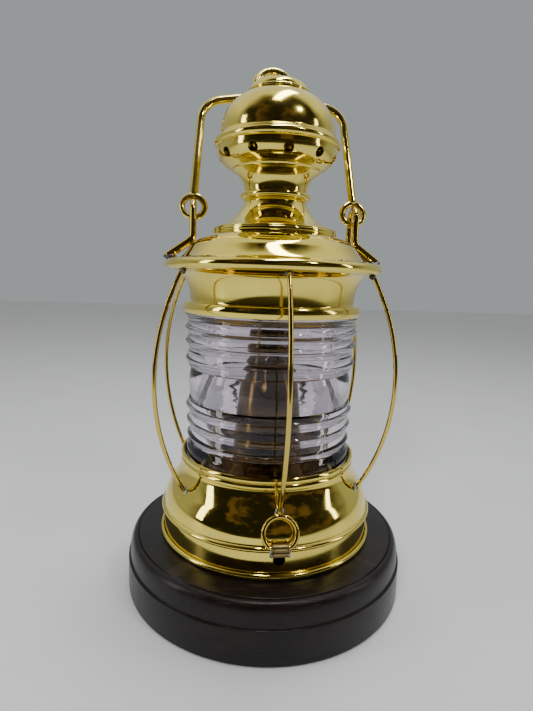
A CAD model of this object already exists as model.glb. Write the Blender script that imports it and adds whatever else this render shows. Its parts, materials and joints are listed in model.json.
"""Ship's oil lantern of spun brass with a ribbed glass, on a turned wooden plinth.

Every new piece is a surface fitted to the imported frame's own boxes: sheet brass is an outline
turned round the axis, wire is a circle carried along a path, and solder is a lump. The other
CAD nodes are shown as they are, with a finish.
"""

import json
import logging
import math
from dataclasses import dataclass, field
from enum import Enum
from typing import Callable, Sequence

import bpy
import numpy as np
from mathutils import Matrix, Vector


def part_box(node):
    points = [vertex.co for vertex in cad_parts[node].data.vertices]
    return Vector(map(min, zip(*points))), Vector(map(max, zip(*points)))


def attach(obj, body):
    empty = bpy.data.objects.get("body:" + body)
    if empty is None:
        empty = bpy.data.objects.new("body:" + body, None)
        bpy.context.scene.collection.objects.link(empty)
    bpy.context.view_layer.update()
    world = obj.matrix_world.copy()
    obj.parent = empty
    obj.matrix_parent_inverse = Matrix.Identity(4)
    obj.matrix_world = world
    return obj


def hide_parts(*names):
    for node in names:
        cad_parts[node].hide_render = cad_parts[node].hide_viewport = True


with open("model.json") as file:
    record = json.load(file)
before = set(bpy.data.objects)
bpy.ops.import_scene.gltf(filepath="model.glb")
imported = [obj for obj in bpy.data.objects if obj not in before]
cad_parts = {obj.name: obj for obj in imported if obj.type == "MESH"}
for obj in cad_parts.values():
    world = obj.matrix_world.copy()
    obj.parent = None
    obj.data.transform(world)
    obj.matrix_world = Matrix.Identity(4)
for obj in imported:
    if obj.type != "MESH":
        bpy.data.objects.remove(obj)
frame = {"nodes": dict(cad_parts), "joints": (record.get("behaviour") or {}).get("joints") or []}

LOG = logging.getLogger("lantern")
MM = 0.001
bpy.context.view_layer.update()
SHEET = 1.2 * MM
POLE = 0.2 * MM
LENS_R = 72.5 * MM
EYE_OUT = 11.3 * MM
WIRE_STEP = 0.9 * MM
ROUND = 192
SMOOTH_ANGLE = math.radians(38)
HEADING_SEED = (0.31, 0.17, 0.94)


# ---------------------------------------------------------------------------
# Outlines
# ---------------------------------------------------------------------------


def bend(p: Sequence[float], c: Sequence[float], q: Sequence[float], n: int = 24) -> np.ndarray:
    """Points of a smooth bend from p to q, drawn towards the corner c.

    The point at u is (1-u)^2 p + 2u(1-u) c + u^2 q.

    Args:
        p: Start of the bend, as radius and height.
        c: Corner that the bend is drawn towards.
        q: End of the bend.
        n: Number of steps.

    Returns:
        An array of n + 1 points.
    """
    u = np.linspace(0.0, 1.0, n + 1)[:, None]
    p, c, q = (np.asarray(v, float) for v in (p, c, q))
    return (1 - u) ** 2 * p + 2 * u * (1 - u) * c + u**2 * q


def arc(centre: Sequence[float], r: float, start: float, end: float, n: int = 12) -> np.ndarray:
    """Points of an arc: centre + r (cos a, sin a), with a in degrees from start to end.

    Args:
        centre: Middle of the arc.
        r: Radius.
        start: First angle in degrees.
        end: Last angle in degrees.
        n: Number of steps.

    Returns:
        An array of n + 1 points.
    """
    a = np.radians(np.linspace(start, end, n + 1))
    return np.asarray(centre, float) + r * np.stack([np.cos(a), np.sin(a)], 1)


def joined(*parts: Sequence) -> np.ndarray:
    """One outline from several runs of points, with repeated points dropped.

    Args:
        *parts: Runs of points, or single points.

    Returns:
        The points in order, no two neighbours closer than a micron.
    """
    pts = np.vstack([np.atleast_2d(np.asarray(p, float)) for p in parts])
    keep = np.r_[True, np.linalg.norm(np.diff(pts, axis=0), axis=1) > 1e-6]
    return pts[keep]


def left_of(pts: np.ndarray) -> np.ndarray:
    """Unit vectors to the left of an open outline, from the mean of its two edge directions.

    Args:
        pts: Outline of n points.

    Returns:
        An array of n unit vectors.
    """
    step = np.diff(pts, axis=0)
    step /= np.linalg.norm(step, axis=1, keepdims=True)
    d = np.vstack([step[:1], step[:-1] + step[1:], step[-1:]])
    d /= np.linalg.norm(d, axis=1, keepdims=True)
    return np.stack([-d[:, 1], d[:, 0]], 1)


def lengths(pts: np.ndarray) -> np.ndarray:
    """Distance along a run of points from its start to each of them."""
    return np.r_[0.0, np.cumsum(np.linalg.norm(np.diff(pts, axis=0), axis=1))]


def wall(outer: np.ndarray, t: float = SHEET) -> np.ndarray:
    """Closed section of a sheet wall, with a rounded edge at each end.

    The inner face is the outer one moved to its left by t; each edge is half a circle of diameter t.

    Args:
        outer: Outline of the outer face, drawn upwards.
        t: Thickness of the sheet.

    Returns:
        The closed outline, first point not repeated.
    """
    n = left_of(outer)
    inner = outer + t * n

    def edge(p: np.ndarray, m: np.ndarray, way: np.ndarray) -> np.ndarray:
        """Half a circle from the outer face at p to the inner one along m, bulging along way."""
        a = np.radians(np.linspace(30, 150, 4))[:, None]
        return p + m * t / 2 - m * t / 2 * np.cos(a) + way * t / 2 * np.sin(a)

    ahead = np.array([n[-1, 1], -n[-1, 0]])
    back = -np.array([n[0, 1], -n[0, 0]])
    return joined(outer, edge(outer[-1], n[-1], ahead), inner[::-1], edge(outer[0], n[0], back)[::-1])


def softened(pts: np.ndarray, radius: float, closed: bool = True, n: int = 5) -> np.ndarray:
    """The outline with each corner cut back by radius and bridged by a bend.

    Args:
        pts: Corner points.
        radius: How far back from each corner its bend starts.
        closed: True if the outline is a loop.
        n: Steps in each bend.

    Returns:
        The softened outline.
    """
    out: list[np.ndarray] = []
    count = len(pts)
    for i in range(count):
        if not closed and i in (0, count - 1):
            out.append(pts[i : i + 1])
            continue
        a, b, c = pts[i - 1], pts[i], pts[(i + 1) % count]
        la, lc = np.linalg.norm(a - b), np.linalg.norm(c - b)
        p = b + (a - b) / la * min(radius, 0.45 * la)
        q = b + (c - b) / lc * min(radius, 0.45 * lc)
        out.append(bend(p, b, q, n))
    return joined(*out)


# ---------------------------------------------------------------------------
# Meshes
# ---------------------------------------------------------------------------


def to_object(name: str, verts: np.ndarray, faces: np.ndarray) -> bpy.types.Object:
    """A mesh object at the origin from whole arrays of corners and four-sided faces.

    A face whose last two corners are the same is a triangle.

    Args:
        name: Name of the piece.
        verts: Corners, n by 3, in metres.
        faces: Corner numbers, m by 4.

    Returns:
        The object, linked to the scene and shaded smooth up to a sharp angle.
    """
    mesh = bpy.data.meshes.new(name)
    tri = faces[:, 2] == faces[:, 3]
    mesh.from_pydata(verts.tolist(), [], faces[~tri].tolist() + faces[tri][:, :3].tolist())
    mesh.polygons.foreach_set("use_smooth", np.ones(len(mesh.polygons), bool))
    mesh.set_sharp_from_angle(angle=SMOOTH_ANGLE)
    mesh.update()
    obj = bpy.data.objects.new(name, mesh)
    bpy.context.scene.collection.objects.link(obj)
    return obj


def grid_faces(rows: int, cols: int, wrap_rows: bool, wrap_cols: bool) -> np.ndarray:
    """Faces of a grid of corners numbered row by row.

    Args:
        rows: Number of rows.
        cols: Number of columns.
        wrap_rows: True if the last row joins the first.
        wrap_cols: True if the last column joins the first.

    Returns:
        Corner numbers, m by 4.
    """
    i = np.arange(rows if wrap_rows else rows - 1)
    j = np.arange(cols if wrap_cols else cols - 1)
    i, j = (v.ravel() for v in np.meshgrid(i, j, indexing="ij"))
    i2, j2 = (i + 1) % rows, (j + 1) % cols
    return np.stack([i * cols + j, i * cols + j2, i2 * cols + j2, i2 * cols + j], 1)


def tube(grid: np.ndarray, closed: bool) -> tuple[np.ndarray, np.ndarray]:
    """Corners and faces of a grid whose columns run round, with its ends joined or closed.

    Args:
        grid: Corners, rows by columns by 3.
        closed: True if the last row joins the first; otherwise one corner closes each end.

    Returns:
        The corners, n by 3, and the faces, m by 4.
    """
    rows, cols = grid.shape[:2]
    verts, faces = grid.reshape(-1, 3), grid_faces(rows, cols, closed, True)
    if closed:
        return verts, faces
    ends = np.stack([grid[0].mean(0), grid[-1].mean(0)])
    low = np.full(cols, rows * cols)
    top = (rows - 1) * cols
    j = np.arange(cols)
    j2 = (j + 1) % cols
    foot_fan = np.stack([j2, j, low, low], 1)
    top_fan = np.stack([top + j, top + j2, low + 1, low + 1], 1)
    return np.vstack([verts, ends]), np.vstack([faces, foot_fan, top_fan])


def turned(name: str, outline: np.ndarray, closed: bool = True, count: int = ROUND) -> bpy.types.Object:
    """Surface of revolution: the point (r, z) at angle a goes to (r cos a, r sin a, z).

    Args:
        name: Name of the piece.
        outline: Section, drawn upwards on its outer face, or anticlockwise if it is a loop.
        closed: True if the section is a loop; otherwise its ends lie on the axis.
        count: Number of steps round the axis.

    Returns:
        The turned object.
    """
    a = np.linspace(0, 2 * math.pi, count, endpoint=False)
    r, z = outline[:, :1], outline[:, 1:]
    grid = np.stack([r * np.cos(a), r * np.sin(a), np.broadcast_to(z, (len(r), count))], 2)
    return to_object(name, *tube(grid, closed))


def swept(
    name: str, path: np.ndarray, radius: np.ndarray | float, closed: bool = False, sides: int = 28
) -> bpy.types.Object:
    """A round wire: a circle of the given radius carried along a path without twisting.

    The frame at each point is the last one turned by the least angle onto the new direction.

    Args:
        name: Name of the piece.
        path: Middle of the wire, n by 3.
        radius: Radius of the wire, one value or one for each point.
        closed: True if the path is a loop that lies in a plane.
        sides: Number of corners round the wire.

    Returns:
        The wire, with rounded ends if the path is open.
    """
    r = np.broadcast_to(np.asarray(radius, float), (len(path),)).copy()
    if not closed:
        path, r = rounded_ends(path, r)
    if closed:
        d = np.roll(path, -1, 0) - np.roll(path, 1, 0)
    else:
        d = np.gradient(path, axis=0)
    d /= np.linalg.norm(d, axis=1, keepdims=True)
    side = np.cross(d[0], HEADING_SEED)
    sides_at = np.empty_like(path)
    for i, way in enumerate(d):
        side = side - way * side.dot(way)
        side /= np.linalg.norm(side)
        sides_at[i] = side
    up = np.cross(d, sides_at)
    a = np.linspace(0, 2 * math.pi, sides, endpoint=False)[None, :, None]
    ring = sides_at[:, None] * np.cos(a) + up[:, None] * np.sin(a)
    return to_object(name, *tube(path[:, None] + ring * r[:, None, None], closed))


def rounded_ends(path: np.ndarray, r: np.ndarray) -> tuple[np.ndarray, np.ndarray]:
    """The path with four short steps added at each end, where the radius falls off as a circle's.

    Args:
        path: Middle of the wire.
        r: Radius at each point.

    Returns:
        The longer path and its radii.
    """
    u = np.radians(np.array([82.0, 62.0, 40.0, 18.0]))
    flatness = 0.6
    head, tail = path[1] - path[0], path[-1] - path[-2]
    first = path[0] - head / np.linalg.norm(head) * r[0] * np.sin(u)[:, None] * flatness
    last = path[-1] + tail / np.linalg.norm(tail) * r[-1] * np.sin(u)[:, None] * flatness
    return (
        np.vstack([first, path, last[::-1]]),
        np.r_[r[0] * np.cos(u), r, (r[-1] * np.cos(u))[::-1]],
    )


def even(path: np.ndarray, step: float) -> np.ndarray:
    """The path with its points spread evenly, about step apart.

    Args:
        path: Points of the path.
        step: Distance between the new points, in metres.

    Returns:
        The evenly spaced path.
    """
    along = lengths(path)
    t = np.linspace(0, along[-1], max(3, int(along[-1] / step)))
    return np.stack([np.interp(t, along, path[:, k]) for k in range(path.shape[1])], 1)


def lump(name: str, centres: np.ndarray, size: Sequence[float], wobble: float) -> bpy.types.Object:
    """Solder lumps: a ball stretched by size, whose radius swells and shrinks with its two angles.

    The radius at angles a, b is 1 + wobble sin(3a + k) sin(2b + 2k), where k is the lump's number.

    Args:
        name: Name of the piece.
        centres: Middle of each lump, n by 3.
        size: Half-widths along X, Y and Z before the lump is turned to face outwards.
        wobble: Depth of the swelling.

    Returns:
        One object that holds every lump.
    """
    rows, cols = 14, 20
    b = np.linspace(0.04, math.pi - 0.04, rows)[:, None]
    a = np.linspace(0, 2 * math.pi, cols, endpoint=False)[None]
    verts, faces = [], []
    for k, c in enumerate(centres):
        swell = 1 + wobble * np.sin(3 * a + k) * np.sin(2 * b + 2 * k)
        ball = np.stack([np.cos(a) * np.sin(b), np.sin(a) * np.sin(b), -np.cos(b) + 0 * a], 2)
        ball *= swell[..., None] * np.asarray(size)
        turn = math.atan2(c[1], c[0])
        x = ball[..., 0] * math.cos(turn) - ball[..., 1] * math.sin(turn)
        y = ball[..., 0] * math.sin(turn) + ball[..., 1] * math.cos(turn)
        corners, sides = tube(np.stack([x, y, ball[..., 2]], 2) + c, False)
        verts.append(corners)
        faces.append(sides + k * len(corners))
    return to_object(name, np.vstack(verts), np.vstack(faces))


def thickened(
    name: str, verts: np.ndarray, faces: np.ndarray, normals: np.ndarray, t: float
) -> bpy.types.Object:
    """A sheet with a wall: the skin, the same skin moved inwards by t, and a rim along free edges.

    Args:
        name: Name of the piece.
        verts: Corners of the outer skin.
        faces: Its faces, seen from outside.
        normals: Outward unit vector at each corner.
        t: Thickness of the sheet.

    Returns:
        The closed object.
    """
    n = len(verts)
    edges = np.vstack([faces[:, [k, (k + 1) % 4]] for k in range(4)])
    edges = edges[edges[:, 0] != edges[:, 1]]
    key = np.sort(edges, 1) @ np.array([n, 1])
    _, first, times = np.unique(key, return_index=True, return_counts=True)
    rim = edges[first[times == 1]]
    side = np.stack([rim[:, 1], rim[:, 0], rim[:, 0] + n, rim[:, 1] + n], 1)
    both = np.vstack([faces, faces[:, ::-1] + n, side])
    return to_object(name, np.vstack([verts, verts - t * normals]), both)


def pierced_shell(
    name: str,
    outline: np.ndarray,
    holes: int,
    first: float,
    at: float,
    hole_r: float,
    rows: int = 12,
    wide: int = 16,
    sectors: int = 0,
) -> bpy.types.Object:
    """A turned sheet with round holes, one in the middle of each pierced sector.

    The skin is a map of distance along the outline and angle. In the band that holds the holes
    each sector is a square drawn in towards a circle: a point is (1-s) circle + s square.

    Args:
        name: Name of the piece.
        outline: Outer face, drawn upwards.
        holes: Number of holes.
        first: Angle of the first hole, in degrees.
        at: Distance of the holes' middles along the outline.
        hole_r: Radius of a hole.
        rows: Rows of faces between a circle and its square.
        wide: Number of steps along one side of a square.
        sectors: Number of sectors round the axis, or 0 for one to each hole.

    Returns:
        The pierced, walled object.
    """
    sectors = sectors or holes
    along = lengths(outline)
    cols = sectors * wide
    half_a = math.pi / sectors
    band, spare, crowding = 1.7, 0.95, 1.3
    half_s = min(band * hole_r, at * spare, (along[-1] - at) * spare)
    r_at = float(np.interp(at, along, outline[:, 0]))
    plain_rows = max(3, int(len(outline) * 0.6))
    below = np.linspace(0, at - half_s, plain_rows)
    above = np.linspace(at + half_s, along[-1], plain_rows)
    normal_at = -left_of(outline)

    def skin(s: np.ndarray, a: np.ndarray) -> np.ndarray:
        """Points of the outer face at distance s along the outline and angle a."""
        r, z = np.interp(s, along, outline[:, 0]), np.interp(s, along, outline[:, 1])
        return np.stack([r * np.cos(a), r * np.sin(a), z], -1)

    def facing(s: np.ndarray, a: np.ndarray) -> np.ndarray:
        """Outward unit vectors at distance s along the outline and angle a."""
        nr, nz = np.interp(s, along, normal_at[:, 0]), np.interp(s, along, normal_at[:, 1])
        v = np.stack([nr * np.cos(a), nr * np.sin(a), nz], -1)
        return v / np.linalg.norm(v, axis=-1, keepdims=True)

    start = math.radians(first) - half_a
    a_grid = start + np.arange(cols) * 2 * math.pi / cols
    s_all, a_all, faces, base = [], [], [], 0
    for run in (below, above):
        s, a = np.meshgrid(run, a_grid, indexing="ij")
        s_all.append(s.ravel())
        a_all.append(a.ravel())
        faces.append(grid_faces(len(run), cols, False, True) + base)
        base += s.size
    u = np.linspace(-1, 1, wide + 1)[:-1]
    square = np.vstack([
        np.stack([u, -np.ones(wide)], 1), np.stack([np.ones(wide), u], 1),
        np.stack([-u, np.ones(wide)], 1), np.stack([-np.ones(wide), -u], 1),
    ])
    angle = np.arctan2(square[:, 1] * half_s, square[:, 0] * half_a * r_at)
    circle = np.stack([np.cos(angle) * hole_r / (half_a * r_at), np.sin(angle) * hole_r / half_s], 1)
    mix = (np.linspace(0, 1, rows + 1) ** crowding)[:, None, None]
    patch = (1 - mix) * circle + mix * square
    across = np.linspace(-1, 1, wide + 1)
    plain_u, plain_v = np.meshgrid(across, across, indexing="xy")
    for k in range(sectors):
        middle = math.radians(first) + k * 2 * half_a
        if k < holes:
            s_all.append((at + patch[..., 1] * half_s).ravel())
            a_all.append((middle + patch[..., 0] * half_a).ravel())
            faces.append(grid_faces(rows + 1, 4 * wide, False, True)[:, ::-1] + base)
            base += patch[..., 0].size
        else:
            s_all.append((at + plain_v * half_s).ravel())
            a_all.append((middle + plain_u * half_a).ravel())
            faces.append(grid_faces(wide + 1, wide + 1, False, False) + base)
            base += plain_u.size
    s, a = np.concatenate(s_all), np.concatenate(a_all)
    verts, normals, faces = skin(s, a), facing(s, a), np.vstack(faces)
    _, keep, where = np.unique(np.round(verts, 7), axis=0, return_index=True, return_inverse=True)
    return thickened(name, verts[keep], where.ravel()[faces], normals[keep], SHEET)


# ---------------------------------------------------------------------------
# Shader groups
# ---------------------------------------------------------------------------


class Net:
    """A short hand for building a node tree."""

    def __init__(self, tree: bpy.types.NodeTree) -> None:
        """Keeps the tree.

        Args:
            tree: The node tree to build in.
        """
        self.tree = tree

    def add(self, kind: str, **values: object) -> bpy.types.Node:
        """A new node with its properties set.

        Args:
            kind: Blender's name for the node's type.
            **values: Properties of the node.

        Returns:
            The node.
        """
        node = self.tree.nodes.new(kind)
        for key, value in values.items():
            setattr(node, key, value)
        return node

    def put(self, socket: bpy.types.NodeSocket, value: object) -> None:
        """Links a socket to another, or sets its value.

        Args:
            socket: The input.
            value: An output socket, a number or a colour.
        """
        if isinstance(value, bpy.types.NodeSocket):
            self.tree.links.new(value, socket)
        else:
            socket.default_value = value

    def math(self, op: str, *values: object, clamp: bool = False) -> bpy.types.NodeSocket:
        """The result of one sum.

        Args:
            op: Blender's name for the operation.
            *values: Its inputs, as sockets or numbers.
            clamp: True to keep the result from 0 to 1.

        Returns:
            The output socket.
        """
        node = self.add("ShaderNodeMath", operation=op, use_clamp=clamp)
        for socket, value in zip(node.inputs, values):
            self.put(socket, value)
        return node.outputs[0]

    def mix(self, factor: object, a: object, b: object, blend: str = "MIX") -> bpy.types.NodeSocket:
        """A blend of two colours.

        Args:
            factor: How much of b shows.
            a: First colour, as a socket or numbers.
            b: Second colour.
            blend: Blender's name for the way they blend.

        Returns:
            The colour socket.
        """
        node = self.add("ShaderNodeMix", data_type="RGBA", blend_type=blend)
        self.put(node.inputs["Factor"], factor)
        self.put(node.inputs[6], a)
        self.put(node.inputs[7], b)
        return node.outputs[2]

    def place(self) -> bpy.types.NodeSocket:
        """Where a point lies on its own object."""
        return self.add("ShaderNodeTexCoord").outputs["Object"]

    def axes(self, where: bpy.types.NodeSocket) -> bpy.types.bpy_prop_collection:
        """The X, Y and Z outputs of a vector.

        Args:
            where: Vector socket.

        Returns:
            The three output sockets, by name.
        """
        node = self.add("ShaderNodeSeparateXYZ")
        self.put(node.inputs[0], where)
        return node.outputs

    def stretched(self, where: bpy.types.NodeSocket, scale: Sequence[float]) -> bpy.types.NodeSocket:
        """The vector with each axis scaled by its own number.

        Args:
            where: Vector socket.
            scale: Factors along X, Y and Z.

        Returns:
            The vector socket.
        """
        node = self.add("ShaderNodeMapping")
        self.put(node.inputs["Vector"], where)
        node.inputs["Scale"].default_value = scale
        return node.outputs[0]

    def blend(self, a: object, share: float, b: object, other: float) -> bpy.types.NodeSocket:
        """The sum a times share plus b times other."""
        return self.math("ADD", self.math("MULTIPLY", a, share), self.math("MULTIPLY", b, other))

    def noise(
        self, where: object, scale: float, detail: float = 3.0, rough: float = 0.5
    ) -> bpy.types.NodeSocket:
        """Smooth noise from 0 to 1.

        Args:
            where: Coordinate socket.
            scale: Number of blotches to a metre.
            detail: Octaves.
            rough: Strength of the finer octaves.

        Returns:
            The value socket.
        """
        node = self.add("ShaderNodeTexNoise")
        self.put(node.inputs["Vector"], where)
        node.inputs["Scale"].default_value = scale
        node.inputs["Detail"].default_value = detail
        node.inputs["Roughness"].default_value = rough
        return node.outputs["Fac"]

    def ramp(self, value: object, low: float, high: float) -> bpy.types.NodeSocket:
        """A smooth step: 0 below low, 1 above high.

        Args:
            value: Input socket.
            low: Where it starts to rise.
            high: Where it reaches 1.

        Returns:
            The value socket.
        """
        node = self.add("ShaderNodeMapRange", interpolation_type="SMOOTHSTEP")
        self.put(node.inputs["Value"], value)
        node.inputs["From Min"].default_value = low
        node.inputs["From Max"].default_value = high
        return node.outputs["Result"]


def group(
    name: str, inputs: dict[str, float], outputs: Sequence[str], build: Callable[[Net, dict, dict], None]
) -> bpy.types.ShaderNodeTree:
    """A shader node group that is built once and shared.

    Args:
        name: Name of the group.
        inputs: Each number that it takes, with its usual value.
        outputs: The values that it gives.
        build: Function that fills the group; it gets the net, the inputs and the output sockets.

    Returns:
        The group.
    """
    if name in bpy.data.node_groups:
        return bpy.data.node_groups[name]
    tree = bpy.data.node_groups.new(name, "ShaderNodeTree")
    for key, value in inputs.items():
        tree.interface.new_socket(key, in_out="INPUT", socket_type="NodeSocketFloat").default_value = value
    for key in outputs:
        tree.interface.new_socket(key, in_out="OUTPUT", socket_type="NodeSocketFloat")
    net = Net(tree)
    source, sink = net.add("NodeGroupInput"), net.add("NodeGroupOutput")
    build(net, dict(source.outputs.items()), dict(sink.inputs.items()))
    return tree


def use(net: Net, tree: bpy.types.ShaderNodeTree, **values: float) -> dict[str, bpy.types.NodeSocket]:
    """Places a group in a material.

    Args:
        net: The material's net.
        tree: The group.
        **values: Its inputs, with spaces in their names as underscores.

    Returns:
        Its outputs by name.
    """
    node = net.add("ShaderNodeGroup", node_tree=tree)
    for key, value in values.items():
        node.inputs[key.replace("_", " ")].default_value = value
    return dict(node.outputs.items())


def turning_group() -> bpy.types.ShaderNodeTree:
    """Fine rings that a polishing lathe leaves: noise read along the radius and height only.

    Returns:
        The group, with Rings per metre and Depth in and Height out.
    """

    def build(net: Net, given: dict, out: dict) -> None:
        """Fills the group.

        Args:
            net: Its net.
            given: Its inputs by name.
            out: Its outputs by name.
        """
        parts = net.axes(net.place())
        x2 = net.math("MULTIPLY", parts["X"], parts["X"])
        y2 = net.math("MULTIPLY", parts["Y"], parts["Y"])
        radius = net.math("SQRT", net.math("ADD", x2, y2))
        flat = net.add("ShaderNodeCombineXYZ")
        net.put(flat.inputs["X"], net.math("MULTIPLY", radius, given["Rings"]))
        net.put(flat.inputs["Y"], net.math("MULTIPLY", parts["Z"], given["Rings"]))
        fine = net.noise(flat.outputs[0], 1.0, 4.0, 0.7)
        net.put(out["Height"], net.math("MULTIPLY", fine, given["Depth"]))

    return group("lathe rings", {"Rings": 2500.0, "Depth": 1.0}, ["Height"], build)


def handling_group() -> bpy.types.ShaderNodeTree:
    """Wear of handled metal: broad smears, small specks of tarnish and a wavy surface.

    Returns:
        The group, with Scale in and Smear, Speck and Wave out.
    """

    def build(net: Net, given: dict, out: dict) -> None:
        """Fills the group.

        Args:
            net: Its net.
            given: Its inputs by name.
            out: Its outputs by name.
        """
        sized = net.add("ShaderNodeVectorMath", operation="SCALE")
        net.put(sized.inputs[0], net.place())
        net.put(sized.inputs["Scale"], given["Scale"])
        broad = net.noise(sized.outputs[0], 14.0, 4.0, 0.55)
        fine = net.noise(sized.outputs[0], 160.0, 5.0, 0.65)
        both = net.math("ADD", broad, net.math("MULTIPLY", fine, 0.25))
        net.put(out["Smear"], net.ramp(both, 0.50, 0.80))
        net.put(out["Speck"], net.ramp(fine, 0.66, 0.76))
        net.put(out["Wave"], net.noise(sized.outputs[0], 22.0, 2.0, 0.4))

    return group("handling", {"Scale": 1.0}, ["Smear", "Speck", "Wave"], build)


def crevice_group() -> bpy.types.ShaderNodeTree:
    """Dirt that a polishing cloth leaves in corners, and bright metal on edges.

    Returns:
        The group, with Reach in and Corner and Edge out.
    """

    def build(net: Net, given: dict, out: dict) -> None:
        """Fills the group.

        Args:
            net: Its net.
            given: Its inputs by name.
            out: Its outputs by name.
        """
        point = net.add("ShaderNodeNewGeometry").outputs["Pointiness"]
        noise = net.noise(net.place(), 240.0, 4.0, 0.6)
        rough = net.math("ADD", point, net.math("MULTIPLY", net.math("SUBTRACT", noise, 0.5), 0.06))
        deep = net.math("SUBTRACT", 0.5, rough)
        net.put(out["Corner"], net.math("MULTIPLY", net.ramp(deep, 0.008, 0.07), given["Reach"]))
        net.put(out["Edge"], net.ramp(rough, 0.53, 0.60))

    return group("crevices", {"Reach": 1.0}, ["Corner", "Edge"], build)


# ---------------------------------------------------------------------------
# Finishes
# ---------------------------------------------------------------------------


Colour = tuple[float, float, float, float]


def fresh(name: str) -> tuple[bpy.types.Material, Net, bpy.types.Node]:
    """An empty material with its Principled shader.

    Args:
        name: Name of the material.

    Returns:
        The material, its net and the shader node.
    """
    material = bpy.data.materials.new(name)
    material.use_nodes = True
    tree = material.node_tree
    return material, Net(tree), tree.nodes["Principled BSDF"]


def bump(net: Net, shader: bpy.types.Node, height: object, depth: float, strength: float = 1.0) -> None:
    """Feeds the shader's normal from a height.

    Args:
        net: The material's net.
        shader: The Principled shader.
        height: Height socket.
        depth: Distance that a height of 1 stands for, in metres.
        strength: Strength of the bump.
    """
    node = net.add("ShaderNodeBump")
    net.put(node.inputs["Height"], height)
    node.inputs["Distance"].default_value = depth
    node.inputs["Strength"].default_value = strength
    net.put(shader.inputs["Normal"], node.outputs["Normal"])


@dataclass(frozen=True)
class Brass:
    """Polished or dull yellow brass.

    smooth and worn are its roughness where it is clean and where it is dirty, tarnished is the
    strength of its smears, and the depths are in metres.
    """

    name: str
    colour: Colour = (0.90, 0.735, 0.145, 1.0)
    tarnish: Colour = (0.40, 0.29, 0.09, 1.0)
    smooth: float = 0.030
    worn: float = 0.14
    tarnished: float = 0.20
    rings: float = 2200.0
    ring_depth: float = 0.000004
    wave_depth: float = 0.00016
    grime: Colour = (0.16, 0.09, 0.035, 1.0)
    verdigris: Colour = (0.055, 0.095, 0.045, 1.0)

    def build(self) -> bpy.types.Material:
        """Makes the brass, with lathe rings, smears, specks, and dirt and verdigris in its corners.

        Returns:
            The material.
        """
        material, net, shader = fresh(self.name)
        hand = use(net, handling_group())
        dirt = use(net, crevice_group())
        lathe = use(net, turning_group(), Rings=self.rings)
        smear = net.math("MULTIPLY", hand["Smear"], self.tarnished)
        base = net.mix(smear, self.colour, self.tarnish)
        base = net.mix(net.math("MULTIPLY", hand["Speck"], self.tarnished * 0.6), base, self.tarnish)
        base = net.mix(net.math("MULTIPLY", dirt["Corner"], 0.75), base, self.grime)
        patches = net.ramp(net.noise(net.place(), 32.0, 3.0), 0.56, 0.66)
        base = net.mix(net.math("MULTIPLY", patches, dirt["Corner"]), base, self.verdigris)
        net.put(shader.inputs["Base Color"], base)
        shader.inputs["Metallic"].default_value = 1.0
        grime = net.math("ADD", hand["Smear"], dirt["Corner"], clamp=True)
        span = net.math("MULTIPLY", grime, self.worn - self.smooth)
        net.put(shader.inputs["Roughness"], net.math("ADD", span, self.smooth))
        height = net.blend(lathe["Height"], self.ring_depth / MM, hand["Wave"], self.wave_depth / MM)
        bump(net, shader, height, MM)
        return material


@dataclass(frozen=True)
class BurntBrass(Brass):
    """Burner brass, browned by heat towards its top."""

    low: float = 0.14
    high: float = 0.21
    stain: Colour = (0.055, 0.034, 0.014, 1.0)

    def build(self) -> bpy.types.Material:
        """Makes the brass with a brown heat stain that deepens with height.

        Returns:
            The material.
        """
        material = super().build()
        net = Net(material.node_tree)
        shader = material.node_tree.nodes["Principled BSDF"]
        place = net.place()
        wander = net.math("MULTIPLY", net.noise(place, 40.0), 0.02)
        heat = net.ramp(net.math("ADD", net.axes(place)["Z"], wander), self.low, self.high)
        old = shader.inputs["Base Color"].links[0].from_socket
        net.put(shader.inputs["Base Color"], net.mix(net.math("MULTIPLY", heat, 0.65), old, self.stain))
        return material


@dataclass(frozen=True)
class PressedGlass:
    """Clear pressed glass with a faint lilac tint and a slightly wavy skin."""

    name: str
    colour: Colour = (0.885, 0.820, 0.900, 1.0)
    pale: Colour = (0.905, 0.855, 0.920, 1.0)

    def build(self) -> bpy.types.Material:
        """Makes the glass, with a thin film of dirt that blurs it in patches.

        Returns:
            The material.
        """
        material, net, shader = fresh(self.name)
        place = net.place()
        tint = net.mix(net.noise(place, 18.0), self.colour, self.pale)
        net.put(shader.inputs["Base Color"], tint)
        shader.inputs["Metallic"].default_value = 0.0
        shader.inputs["Transmission Weight"].default_value = 1.0
        shader.inputs["IOR"].default_value = 1.50
        film = net.ramp(net.noise(place, 90.0, 4.0, 0.6), 0.55, 0.85)
        net.put(shader.inputs["Roughness"], net.math("ADD", net.math("MULTIPLY", film, 0.05), 0.012))
        flowed = net.noise(net.stretched(place, (1.0, 1.0, 3.0)), 30.0, 2.0)
        bump(net, shader, flowed, 0.0003, 0.5)
        return material


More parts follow.
